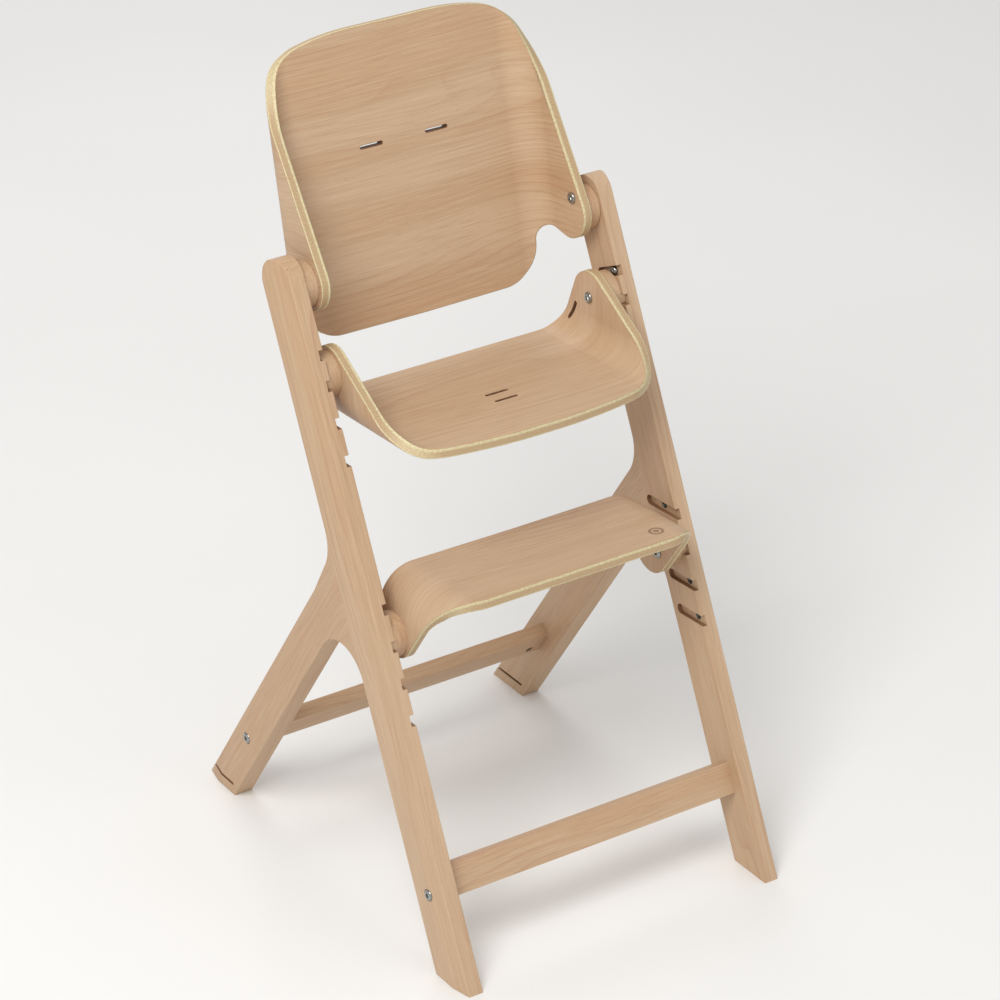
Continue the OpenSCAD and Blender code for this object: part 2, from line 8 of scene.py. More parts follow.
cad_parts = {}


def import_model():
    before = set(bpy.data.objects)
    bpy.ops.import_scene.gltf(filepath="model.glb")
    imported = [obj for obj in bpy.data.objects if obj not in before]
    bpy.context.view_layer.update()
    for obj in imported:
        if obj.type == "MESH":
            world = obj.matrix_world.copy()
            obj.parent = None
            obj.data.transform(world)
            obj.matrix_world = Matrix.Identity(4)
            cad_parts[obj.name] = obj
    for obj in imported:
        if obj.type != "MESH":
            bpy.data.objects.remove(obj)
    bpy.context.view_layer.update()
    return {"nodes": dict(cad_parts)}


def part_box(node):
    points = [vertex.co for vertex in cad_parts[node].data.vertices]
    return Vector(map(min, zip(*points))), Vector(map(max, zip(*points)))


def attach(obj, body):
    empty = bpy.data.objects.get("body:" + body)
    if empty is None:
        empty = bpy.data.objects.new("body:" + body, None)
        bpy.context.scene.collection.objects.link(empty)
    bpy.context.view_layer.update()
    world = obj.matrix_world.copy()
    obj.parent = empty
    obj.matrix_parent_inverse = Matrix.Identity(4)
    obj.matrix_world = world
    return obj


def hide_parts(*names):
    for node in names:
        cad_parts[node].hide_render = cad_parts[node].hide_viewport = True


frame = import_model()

# A wooden baby high chair: two A-shaped side frames of solid beech, two crossbars, and a
# backrest, seat and footrest of bent beech plywood. Lengths are in metres, and MM is one
# millimetre. X runs across the chair, the front faces -Y, and Z is up.

MM = 0.001
SIDES = {"left": -1, "right": 1}

# ---- Dimensions that the CAD model shares ----
FRONT_LEAN = math.radians(25.5)      # front legs, back from the vertical
REAR_LEAN = math.radians(34.2)       # rear legs, forward from the vertical
PLY_T = 12 * MM
PLY_LAYERS = 7.0
BEND_R = 32 * MM                     # inside bends of the seat and backrest
FOOT_BEND_R = 34 * MM                # inside bends of the footrest
SEAT_TILT = math.radians(-3.4)
BACK_TILT = math.radians(90 - 12.25)
FOOT_TILT = math.radians(-4.5)
BOLT_R = 3 * MM
HEAD_R = 7 * MM
HEAD_H = 3 * MM
STOP_H = 3.6 * MM                    # head of the stop screws

WING_OUT_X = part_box("right_seat_disc")[0].x      # outer faces of the shells' wings
WING_IN_X = WING_OUT_X - PLY_T
INNER_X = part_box("right_side_frame")[0].x        # inner face of the right side frame


def polar(angle):
    return Vector((math.cos(angle), math.sin(angle)))


def in_space(v):
    """A side-view direction (y, z) in three dimensions."""
    return Vector((0, v.x, v.y))


# Directions up along the legs and back across them, in side view
FRONT_UP, FRONT_BACK = polar(math.pi / 2 - FRONT_LEAN), polar(-FRONT_LEAN)
REAR_UP, REAR_BACK = polar(math.pi / 2 + REAR_LEAN), polar(REAR_LEAN)


def centre(node):
    low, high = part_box(node)
    return (low + high) / 2


def link(name, data):
    obj = bpy.data.objects.new(name, data)
    bpy.context.scene.collection.objects.link(obj)
    return obj


def stand_in(obj, body, node):
    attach(obj, body)
    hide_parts(node)


# The side frames, in millimetres
FOOT_DEPTH = 580
FRONT_W, FRONT_L = 54.5, 864
REAR_W = 55
FILLET_R = 50
BOARD_T = 25
BEVEL_DROP, FRONT_BEVEL, REAR_BEVEL, BEVEL_RUN = 6, 23, 21.5, 10
KERF_Z, KERF_H, KERF_WALL = 15.3, 3.4, 12
GROOVE_H, GROOVE_D = 12, 6
GROOVE_PITCH = 43.3
GROOVE_FALL = math.radians(4)
LOWER_GROOVE, UPPER_GROOVE, STOP_GROOVE = 322.6, 625.1, 747
HEAD_SEAT = 1.5
BAR_BOLT_REACH = 28                  # of the crossbars' bolts, past the side frames
TOES_Y = -FOOT_DEPTH / 2 * MM


# ---- Camera, light and floor ----
def camera():
    """A long lens at the viewing angle of a product photograph, from the front left."""
    azimuth, elevation = math.radians(33.838), math.radians(28.425)
    cam = bpy.data.cameras.new("camera")
    cam.lens = 145.7
    cam.sensor_width = 36
    cam.clip_end = 50
    obj = link("camera", cam)
    right = Vector((0.83136, -0.55574, 0.00249))
    forward = Vector((math.sin(azimuth) * math.cos(elevation),
                      math.cos(azimuth) * math.cos(elevation), -math.sin(elevation)))
    up = right.cross(forward).normalized()
    right = forward.cross(up)
    turn = Matrix((right, up, -forward)).transposed()
    obj.matrix_world = Matrix.Translation((-2.2867, -3.4338, 2.6780)) @ turn.to_4x4()
    bpy.context.scene.camera = obj


def area_light(name, place, target, size, power, tint=(1, 1, 1)):
    data = bpy.data.lights.new(name, "AREA")
    data.shape = "DISK"
    data.size = size
    data.energy = power
    data.color = tint
    obj = link(name, data)
    obj.location = place
    obj.rotation_euler = (Vector(target) - Vector(place)).to_track_quat("-Z", "Y").to_euler()


def studio():
    world = bpy.data.worlds.new("studio")
    world.use_nodes = True
    sky = world.node_tree.nodes["Background"].inputs
    sky["Color"].default_value = (1, 0.99, 0.975, 1)
    sky["Strength"].default_value = 0.63
    bpy.context.scene.world = world
    bpy.context.scene.view_settings.view_transform = "Standard"
    middle = (0, 0, 0.5)
    area_light("key", (-2.3, -1.5, 3.5), middle, 2.2, 110, (1, 0.99, 0.97))
    area_light("fill", (1.2, -3.6, 2.2), middle, 2.5, 11)
    area_light("back", (0.8, 2.8, 2.8), middle, 2.0, 24)
    mesh = bpy.data.meshes.new("floor")
    half = 6
    mesh.from_pydata([(-half, -half, 0), (half, -half, 0), (half, half, 0), (-half, half, 0)],
                     [], [(0, 1, 2, 3)])
    floor = link("floor", mesh)
    mesh.materials.append(floor_material())


# ---- Node helpers ----
def srgb(r, g, b):
    """Linear colour of an 8-bit sRGB one, with alpha 1."""
    return tuple(((c / 255 + 0.055) / 1.055) ** 2.4 if c > 10 else c / 255 / 12.92
                 for c in (r, g, b)) + (1,)


class Tree:
    """Adds nodes to a node tree in one call each; inputs may be values or sockets."""

    def __init__(self, tree):
        self.tree = tree

    def add(self, kind, inputs=None, **props):
        node = self.tree.nodes.new("ShaderNode" + kind)
        for key, value in props.items():
            setattr(node, key, value)
        for key, value in (inputs or {}).items():
            self.feed(node.inputs[key], value)
        return node

    def feed(self, socket, value):
        if isinstance(value, bpy.types.NodeSocket):
            self.tree.links.new(value, socket)
        else:
            socket.default_value = value

    def math(self, operation, a, b=0.0):
        return self.add("Math", {0: a, 1: b}, operation=operation).outputs[0]

    def plus(self, a, b):
        return self.math("ADD", a, b)

    def minus(self, a, b):
        return self.math("SUBTRACT", a, b)

    def times(self, a, b):
        return self.math("MULTIPLY", a, b)

    def vectors(self, operation, a, b, output=0):
        return self.add("VectorMath", {0: a, 1: b}, operation=operation).outputs[output]

    def move(self, vector, by):
        return self.vectors("ADD", vector, by)

    def dot(self, vector, other):
        return self.vectors("DOT_PRODUCT", vector, other, "Value")

    def vector(self, x, y, z=0.0):
        return self.add("CombineXYZ", {0: x, 1: y, 2: z}).outputs[0]

    def noise(self, vector, scale=None, detail=2.0, rough=0.5):
        """Noise with scale blobs per metre along each axis."""
        if scale:
            vector = self.vectors("MULTIPLY", vector, scale)
        return self.add("TexNoise", {"Vector": vector, "Scale": 1.0, "Detail": detail,
                                     "Roughness": rough}).outputs["Fac"]

    def ramp(self, factor, stops):
        node = self.add("ValToRGB", {"Fac": factor})
        ramp = node.color_ramp
        while len(ramp.elements) < len(stops):
            ramp.elements.new(0.5)
        for element, (place, colour) in zip(ramp.elements, stops):
            element.position = place
            element.color = colour
        return node.outputs["Color"]

    def grey(self, factor, low, high, dark=0.0, bright=1.0):
        """factor from low..high mapped to dark..bright, clamped."""
        return self.add("MapRange", {"Value": factor, "From Min": low, "From Max": high,
                                     "To Min": dark, "To Max": bright}).outputs[0]

    def mix(self, factor, a, b, blend="MIX"):
        node = self.add("Mix", data_type="RGBA", blend_type=blend)
        sockets = [socket for socket in node.inputs if socket.enabled]
        for socket, value in zip(sockets, (factor, a, b)):
            self.feed(socket, value)
        return next(socket for socket in node.outputs if socket.enabled)


def new_material(name):
    material = bpy.data.materials.new(name)
    material.use_nodes = True
    return material, Tree(material.node_tree), material.node_tree.nodes["Principled BSDF"]


def connect(t, shader, colour, rough, height=None, bump=0.1, depth=0.1 * MM):
    t.feed(shader.inputs["Base Color"], colour)
    t.feed(shader.inputs["Roughness"], rough)
    if height is not None:
        node = t.add("Bump", {"Strength": bump, "Distance": depth, "Height": height})
        t.feed(shader.inputs["Normal"], node.outputs["Normal"])


# ---- Beech ----
TAN = srgb(188, 158, 126)
PALE = srgb(195, 167, 137)
LIGHT = srgb(208, 182, 154)
PEACH = srgb(188, 153, 120)
PINK = srgb(170, 124, 96)
BROWN = srgb(158, 120, 90)
FLECK = srgb(128, 92, 66)
DEEP_BROWN = srgb(104, 70, 49)


def beech_group():
    """Colour, height and roughness of planed beech, for a position with X along the grain."""
    group = bpy.data.node_groups.new("beech_grain", "ShaderNodeTree")
    group.interface.new_socket("Place", in_out="INPUT", socket_type="NodeSocketVector")
    for name, kind in (("Color", "NodeSocketColor"), ("Height", "NodeSocketFloat"),
                       ("Rough", "NodeSocketFloat")):
        group.interface.new_socket(name, in_out="OUTPUT", socket_type=kind)
    t = Tree(group)
    place = group.nodes.new("NodeGroupInput").outputs["Place"]
    out = group.nodes.new("NodeGroupOutput")

    sway = t.noise(place, (3.5, 9, 9), 1.0)
    sway = t.times(t.minus(sway, 0.5), 0.018)
    bent = t.move(place, t.vector(0.0, sway, sway))

    # broad soft bands of tan, pale and peach wood
    band = t.noise(bent, (1.2, 22, 22), 2.0, 0.5)
    colour = t.ramp(band, ((0.30, PEACH), (0.48, TAN), (0.66, PALE), (0.82, TAN)))

    # contour lines of the growth rings, which bend into long loops on a flat-sawn face
    field = t.noise(bent, (1.7, 10, 10), 1.0, 0.35)
    level = t.plus(t.times(field, 15.0), t.dot(bent, (0.0, 110.0, 70.0)))
    ring = t.math("POWER", t.math("FRACT", level), 4.0)
    patch = t.grey(t.noise(place, (2.6, 9, 9), 1.0), 0.40, 0.60, 0.1, 1.0)
    ring = t.times(ring, patch)
    colour = t.mix(t.times(ring, 0.52), colour, PINK)

    # fine streaks, pink, brown and pale, and the short dark flecks of beech
    streak = t.noise(bent, (9, 760, 760), 2.0, 0.7)
    blush = t.noise(bent, (2.2, 150, 150), 3.0, 0.6)
    colour = t.mix(t.grey(blush, 0.54, 0.74, 0.0, 0.20), colour, PINK)
    colour = t.mix(t.grey(streak, 0.53, 0.74, 0.0, 0.38), colour, BROWN)
    colour = t.mix(t.grey(streak, 0.26, 0.47, 0.52, 0.0), colour, LIGHT)
    fleck = t.noise(bent, (260, 2600, 2600), 1.0)
    fleck = t.grey(fleck, 0.63, 0.73)
    colour = t.mix(t.times(fleck, 0.22), colour, FLECK)

    height = t.minus(t.times(streak, 0.6), t.times(fleck, 0.5))
    rough = t.grey(t.plus(streak, t.times(band, 0.5)), 0.4, 1.0, 0.44, 0.60)
    for name, value in (("Color", colour), ("Height", height), ("Rough", rough)):
        t.feed(out.inputs[name], value)
    return group


BEECH = beech_group()


def grain_place(t, along, across, shift):
    """The position in a board: X along the grain, Y across its face and Z through it."""
    place = t.add("TexCoord").outputs["Object"]
    along, across = Vector(along).normalized(), Vector(across).normalized()
    through = along.cross(across)
    moved = [t.plus(t.dot(place, axis), step)
             for axis, step in zip((along, across, through), shift)]
    return t.vector(*moved)


def beech(t, place):
    node = t.add("Group", {"Place": place}, node_tree=BEECH)
    return [node.outputs[k] for k in ("Color", "Height", "Rough")]


def finish_wood(t, shader, colour, height, rough, tint=None):
    """A thin matt lacquer over the wood."""
    # tint multiplies the colour; on the side frames' groove and slot walls it is painted shade
    if tint:
        colour = t.mix(1.0, colour, tint, "MULTIPLY")
    connect(t, shader, colour, rough, height, 0.25, 0.08 * MM)
    shader.inputs["Specular IOR Level"].default_value = 0.42
    shader.inputs["Coat Weight"].default_value = 0.06
    shader.inputs["Coat Roughness"].default_value = 0.35


CUT_SHADE_TINT = (0.50, 0.40, 0.33, 1.0)           # painted shade: the walls of the side frames' grooves and saw slot are darkened to stand in for the shade inside them


def board_material(name, along, across, shift):
    material, t, shader = new_material(name)
    finish_wood(t, shader, *beech(t, grain_place(t, along, across, shift)))
    return material


def side_frame_material(name, shift, tint=None):
    """Front and rear leg are two boards glued together along the front leg's rear edge."""
    material, t, shader = new_material(name)
    place = t.add("TexCoord").outputs["Object"]
    up, back = in_space(FRONT_UP), in_space(FRONT_BACK)
    seam = back.y * TOES_Y + FRONT_W * MM
    blend = 0.6 * MM
    rear = t.grey(t.dot(place, back), seam - blend, seam + blend)
    a = beech(t, grain_place(t, up, back, shift))
    b = beech(t, grain_place(t, in_space(REAR_UP), in_space(REAR_BACK),
                             (shift[0] + 3.3, shift[1] + 1.7, shift[2])))
    colour = t.mix(rear, a[0], b[0])
    height = t.plus(t.times(a[1], t.minus(1.0, rear)),
                    t.times(b[1], rear))
    # with tint the wood is darkened all over: painted shade for the walls of the cuts
    finish_wood(t, shader, colour, height, a[2], tint)
    return material


def veneer_material(name, shift, mark=None):
    """Face veneer of a shell; its UVs are the flat sheet's own place, in metres. mark is the
    place of a plain burnt ring."""
    material, t, shader = new_material(name)
    uv = t.add("UVMap", uv_map="sheet").outputs["UV"]
    place = t.move(uv, shift)
    colour, height, rough = beech(t, place)
    if mark:
        away = t.vectors("DISTANCE", uv, (*mark, 0), "Value")
        soft, ring_r, half_w, dot_r = 0.6 * MM, 7.7 * MM, 1.4 * MM, 3.3 * MM
        off = t.math("ABSOLUTE", t.minus(away, ring_r))
        ring = t.grey(off, half_w, half_w + soft, 0.62, 0.0)
        dot = t.grey(away, dot_r, dot_r + soft, 0.62, 0.0)
        burn = t.math("MAXIMUM", ring, dot)
        colour = t.mix(burn, colour, DEEP_BROWN)
        height = t.minus(height, t.times(burn, 1.5))
    finish_wood(t, shader, colour, height, rough)
    return material


def ply_edge_material(name):
    """Sanded edge of the plywood: pale outer layers, and a speckled core that is tan where
    the edge runs across the chair and pale with slanting streaks along its sides."""
    material, t, shader = new_material(name)
    uv = t.add("UVMap", uv_map="sheet").outputs["UV"]
    split = t.add("SeparateXYZ", {0: uv})
    run, depth = split.outputs[0], split.outputs[1]
    wander = t.noise(t.vector(t.times(run, 24.0), 0.0))
    depth = t.plus(depth, t.times(t.minus(wander, 0.5), 0.9 * MM))
    level = t.math("DIVIDE", depth, PLY_T)
    facing = t.add("SeparateXYZ", {0: t.add("TexCoord").outputs["Normal"]}).outputs[0]
    side = t.grey(t.math("ABSOLUTE", facing), 0.35, 0.75)

    speck = t.vector(t.times(run, 1100.0), t.times(level, 13.0))
    speck = t.noise(speck, detail=3.0, rough=0.7)
    core = t.ramp(speck, ((0.37, srgb(128, 98, 74)), (0.48, srgb(179, 149, 113)),
                          (0.61, srgb(203, 180, 140))))
    slant = t.plus(t.times(run, 420.0), t.times(level, 6.0))
    streak = t.noise(t.vector(slant, t.times(level, 9.0)), detail=3.0, rough=0.65)
    pale = t.ramp(streak, ((0.34, srgb(178, 160, 112)), (0.48, srgb(204, 190, 148)),
                           (0.64, srgb(222, 214, 182))))

    # the core, faint layer lines, and a thin tan face veneer on each side
    middle = t.times(t.grey(level, 0.24, 0.34), t.grey(level, 0.90, 0.84))
    amount = t.times(middle, t.grey(side, 0.0, 1.0, 0.95, 0.22))
    colour = t.mix(amount, pale, core)
    within = t.math("FRACT", t.times(level, PLY_LAYERS))
    glue = t.grey(t.math("ABSOLUTE", t.minus(within, 0.5)), 0.38, 0.49, 0.0, 0.28)
    glue = t.times(glue, t.grey(speck, 0.40, 0.60, 0.2, 1.0))
    colour = t.mix(glue, colour, srgb(150, 118, 82))
    outer = t.math("ABSOLUTE", t.minus(level, 0.5))
    skin = t.grey(outer, 0.44, 0.475, 0.0, 0.8)
    colour = t.mix(skin, colour, srgb(172, 139, 104))
    height = t.minus(speck, glue)
    rough = t.grey(speck, 0.2, 0.8, 0.50, 0.66)
    connect(t, shader, colour, rough, height, 0.3, 0.1 * MM)
    return material


def dark_slot_material(name):
    """Walls of a slot, dark brown in uneven strokes."""
    material, t, shader = new_material(name)
    place = t.add("TexCoord").outputs["Object"]
    stroke = t.noise(place, (420, 420, 420), 3.0, 0.6)
    colour = t.ramp(stroke, ((0.35, DEEP_BROWN), (0.65, srgb(146, 108, 78))))
    connect(t, shader, colour, t.grey(stroke, 0.3, 0.7, 0.55, 0.7), stroke, 0.2)
    return material


# ---- Metal and floor ----
def steel_material(name, tint, rough):
    """Turned steel, with faint turning marks and smears in its gloss."""
    material, t, shader = new_material(name)
    place = t.add("TexCoord").outputs["Object"]
    smear = t.noise(place, (260, 260, 260), 3.0, 0.6)
    marks = t.noise(place, (5200, 900, 900), 1.0)
    dull = [0.86 * c for c in tint[:3]] + [1]
    colour = t.ramp(smear, ((0.35, dull), (0.65, tint)))
    shade = t.grey(smear, 0.3, 0.7, rough, rough + 0.12)
    connect(t, shader, colour, shade, marks, 0.12, 0.02 * MM)
    shader.inputs["Metallic"].default_value = 1.0
    return material


def floor_material():
    material, t, shader = new_material("floor")
    place = t.add("TexCoord").outputs["Object"]
    cloud = t.noise(place, (1.5, 1.5, 1.5), 2.0)
    colour = t.ramp(cloud, ((0.3, (0.79, 0.79, 0.785, 1)), (0.7, (0.81, 0.81, 0.805, 1))))
    connect(t, shader, colour, t.grey(cloud, 0.2, 0.8, 0.75, 0.85))
    return material


# ---- CAD boards: the CAD solids with softened edges ----
SHARP = math.radians(32)             # an edge that turns by more is a sharp one


def soften(node, material, radius, segments=3):
    """Gives a CAD solid its material, and rounds its sharp edges with modifiers, which leave
    its own mesh as it is."""
    obj = frame["nodes"][node]
    for i in range(len(obj.data.materials)):
        obj.data.materials[i] = material
    if not obj.data.materials:
        obj.data.materials.append(material)
    for name in ("custom_normal", "sharp_face", "sharp_edge"):
        layer = obj.data.attributes.get(name)
        if layer:
            obj.data.attributes.remove(layer)
    obj.data.shade_smooth()
    weld = obj.modifiers.new("weld", "WELD")
    weld.merge_threshold = 2e-6
    flat = obj.modifiers.new("flat", "DECIMATE")
    flat.decimate_type = "DISSOLVE"
    flat.angle_limit = math.radians(0.3)
    bevel = obj.modifiers.new("bevel", "BEVEL")
    bevel.width = radius
    bevel.segments = segments
    bevel.limit_method = "ANGLE"
    bevel.angle_limit = SHARP
    bevel.use_clamp_overlap = True
    bevel.harden_normals = True


def smooth(mesh, sharp, weld=0.0):
    """Welds a new mesh, turns its faces outwards and marks its edges sharper than an angle."""
    bm = bmesh.new()
    bm.from_mesh(mesh)
    if weld:
        bmesh.ops.remove_doubles(bm, verts=bm.verts, dist=weld)
    bmesh.ops.recalc_face_normals(bm, faces=bm.faces)
    for face in bm.faces:
        face.smooth = True
    for edge in bm.edges:
        edge.smooth = edge.calc_face_angle(0) < sharp
    bm.to_mesh(mesh)
    bm.free()


# ---- Outlines of the flat sheets ----
# A point is (v, u), in millimetres: v across from the middle, and u along the bend line.
def on_circle(c, r, angle):
    return Vector((c[0] + r * math.cos(angle), c[1] + r * math.sin(angle)))


def arc(c, r, a0, a1, n):
    return [on_circle(c, r, a0 + (a1 - a0) * i / n) for i in range(n + 1)]


def direction(p):
    return math.atan2(p[1], p[0])


def rounded(corners, n=14):
    """A path through corners (v, u, radius), with the corners rounded; its ends stay sharp."""
    path = [Vector(corners[0][:2])]
    for before, (x, y, r), after in zip(corners, corners[1:-1], corners[2:]):
        p = Vector((x, y))
        a = (p - Vector(before[:2])).normalized()
        b = (Vector(after[:2]) - p).normalized()
        side = 1 if cross(a, b) > 0 else -1
        swing = math.acos(max(-1, min(1, a.dot(b))))
        start = p - a * r * math.tan(swing / 2)
        mid = start + side * r * Vector((-a.y, a.x))
        first = direction(a) - side * math.pi / 2
        path += arc(mid, r, first, first + side * swing, n)
    return path + [Vector(corners[-1][:2])]


def touch(p, c, r, side):
    """Where the line from p touches a circle; side is 1 with the circle on the line's left."""
    gap = Vector(p) - Vector(c)
    return on_circle(c, r, direction(gap) + side * math.acos(r / gap.length))


def ear(start, end, c, r, side, n=30):
    """The arc round an ear between the points where two lines touch it, ends left out."""
    a0, a1 = direction(start - Vector(c)), direction(end - Vector(c))
    if side * (a1 - a0) < 0:
        a1 += side * 2 * math.pi
    return arc(c, r, a0, a1, n)[1:-1]


def closed(half):
    """A whole outline from its right half, which starts and ends on the middle line."""
    mirrored = [Vector((-p.x, p.y)) for p in reversed(half[1:-1])]
    loop = half + mirrored
    area = sum(p.x * q.y - q.x * p.y for p, q in zip(loop, loop[1:] + loop[:1]))
    return loop if area > 0 else loop[::-1]


def slot(v, u, length, width, turn=0.0):
    """A slot with round ends, clockwise."""
    reach = polar(turn) * ((length - width) / 2)
    loop = []
    for sign, first in ((1, turn - math.pi / 2), (-1, turn + math.pi / 2)):
        loop += arc(Vector((v, u)) + reach * sign, width / 2, first, first + math.pi, 8)
    return loop[::-1]


def round_hole(v, u, r, n=24):
    return arc((v, u), r, 0, -2 * math.pi * (n - 1) / n, n - 1)


# ---- Bent plywood ----
class Sheet:
    """The bend of a flat sheet into a U with two wings. The flat lies on z = 0 in its own
    frame, the bend lines run along its Y, and depth is measured from the face on z = 0."""

    def __init__(self, tilt, hub_node, hub, in_r, outside=False):
        self.outside = outside                     # True if z = 0 is the outer face
        self.in_r, self.out_r = in_r, in_r + PLY_T
        self.ref_r = self.out_r if outside else in_r
        self.x1 = WING_IN_X - in_r
        self.wing_v = self.x1 + self.ref_r * math.pi / 2
        pin = centre(hub_node)
        down = -1 if outside else 1
        self.move = Matrix.Translation((0, pin.y, pin.z)) @ Matrix.Rotation(tilt, 4, "X") \
            @ Matrix.Translation((0, -hub[0] * MM, -down * hub[1] * MM)) \
            @ Matrix.Diagonal((1, 1, down, 1))

    def wing(self, hub):
        """Flat place of a point at (u, height over the flat), in millimetres."""
        return (self.wing_v - self.ref_r) / MM + hub[1], hub[0]

    def place(self, point, depth):
        """A flat point's place in the world, and in the sheet's own frame the directions
        across the chair along the face and towards the middle of the U."""
        v, u = point
        side = 1 if v >= 0 else -1
        v = abs(v)
        angle = min(max((v - self.x1) / self.ref_r, 0), math.pi / 2)
        radius = self.ref_r - depth if self.outside else self.ref_r + depth
        x = min(v, self.x1) + radius * math.sin(angle)
        z = self.ref_r - radius * math.cos(angle) + max(v - self.wing_v, 0)
        along = Vector((side * math.cos(angle), 0, math.sin(angle)))
        inward = Vector((-side * math.sin(angle), 0, math.cos(angle)))
        return self.move @ Vector((side * x, u, z)), along, inward


def inside(p, loop):
    hit = False
    for a, b in zip(loop, loop[1:] + loop[:1]):
        if (a.y > p.y) != (b.y > p.y) and p.x < (b.x - a.x) * (p.y - a.y) / (b.y - a.y) + a.x:
            hit = not hit
    return hit


def bend_lines(sheet):
    step = 20 * MM
    flat = [(i + 0.5) * step for i in range(int(sheet.x1 / step))]
    curve = [sheet.x1 + sheet.ref_r * math.radians(a) for a in range(0, 91, 5)]
    wings = [sheet.wing_v + step * i for i in range(1, 4)]
    right = flat + curve + wings
    return sorted(right + [-v for v in right])


def miters(loop):
    """Outward offset at each point that moves its two edges out by one; a hole's loop is
    clockwise, so its points move into the hole."""
    result = []
    for a, b, c in zip(loop[-1:] + loop[:-1], loop, loop[1:] + loop[:1]):
        before, after = (b - a).normalized(), (c - b).normalized()
        middle = (before + after).normalized()
        result.append(Vector((middle.y, -middle.x)) / max(0.35, middle.dot(after)))
    return result


def offset(loop, distance):
    return [p + m * distance for p, m in zip(loop, miters(loop))]


def cross(a, b):
    return a.x * b.y - a.y * b.x


def add_crossings(loop, creases):
    """The loop with a point wherever one of the creases (a, b) crosses it."""
    result = []
    for p, q in zip(loop, loop[1:] + loop[:1]):
        result.append(p)
        cuts = []
        for a, b in creases:
            slope = cross(q - p, b - a)
            if abs(slope) > 1e-12:
                along, over = cross(a - p, b - a) / slope, cross(a - p, q - p) / slope
                if 0.01 < along < 0.99 and 0 <= over <= 1:
                    cuts.append(along)
        result += [p.lerp(q, along) for along in sorted(cuts)]
    return result


def drop_repeats(loop, least=0.05 * MM):
    return [p for p, q in zip(loop, loop[1:] + loop[:1]) if (p - q).length > least]


def fill(borders, creases):
    """Triangles inside the first border and outside the others, cut along the creases.
    Returns points, triangles and the point numbers of each border."""
    def within(p):
        return inside(p, borders[0]) and not any(inside(p, hole) for hole in borders[1:])

    points, segments, numbers = [], [], []
    for loop in borders:
        first, count = len(points), len(loop)
        points += loop
        numbers.append([first + i for i in range(count)])
        segments += [(first + i, first + (i + 1) % count) for i in range(count)]
    points += [end for crease in creases for end in crease if within(end)]
    for a, b in creases:
        along = (b - a).normalized()
        on_line = [i for i, p in enumerate(points) if abs(cross(p - a, along)) < 3e-7
                   and -1e-6 < (p - a).dot(along) < (b - a).length + 1e-6]
        on_line.sort(key=lambda i: (points[i] - a).dot(along))
        segments += [(i, j) for i, j in zip(on_line, on_line[1:])
                     if within((points[i] + points[j]) / 2)]
    points, _, triangles, origins, *_ = delaunay_2d_cdt(points, segments, [], 0, 1e-8)
    number = {old: new for new, olds in enumerate(origins) for old in olds}
    triangles = [t for t in triangles if within(sum((points[i] for i in t), Vector((0, 0))) / 3)]
    return points, triangles, [[number[i] for i in loop] for loop in numbers]


class Shape:
    """Vertices, and faces with their UVs and material numbers, of a mesh in the making."""

    def __init__(self):
        self.vertices, self.faces, self.places, self.kinds = [], [], [], []

    def add(self, positions):
        first = len(self.vertices)
        self.vertices += positions
        return list(range(first, len(self.vertices)))

    def cover(self, numbers, triangles, places):
        for triangle in triangles:
            self.faces.append([numbers[i] for i in triangle])
            self.places.append([places[i] for i in triangle])
            self.kinds.append(0)

    def band(self, low, high, run, v_low, v_high, kinds):
        """Quads between two rings of vertices; run has the length along the ring, and kinds
        each quad's material number."""
        for i in range(len(low)):
            j = (i + 1) % len(low)
            self.faces.append([low[i], high[i], high[j], low[j]])
            self.places.append([(run[i], v_low), (run[i], v_high),
                                (run[i + 1], v_high), (run[i + 1], v_low)])
            self.kinds.append(kinds[i])

    def mesh(self, name, materials):
        mesh = bpy.data.meshes.new(name)
        mesh.from_pydata(self.vertices, [], self.faces)
        for material in materials:
            mesh.materials.append(material)
        layer = mesh.uv_layers.new(name="sheet")
        for polygon, places, kind in zip(mesh.polygons, self.places, self.kinds):
            polygon.material_index = kind
            for index, place in zip(polygon.loop_indices, places):
                layer.data[index].uv = place
        smooth(mesh, SHARP, 1e-7)
        return mesh


def lengths(loop):
    run = [0.0]
    for p, q in zip(loop, loop[1:] + loop[:1]):
        run.append(run[-1] + (q - p).length)
    return run


ROUNDING = [math.radians(a) for a in (0, 22.5, 45, 67.5, 90)]


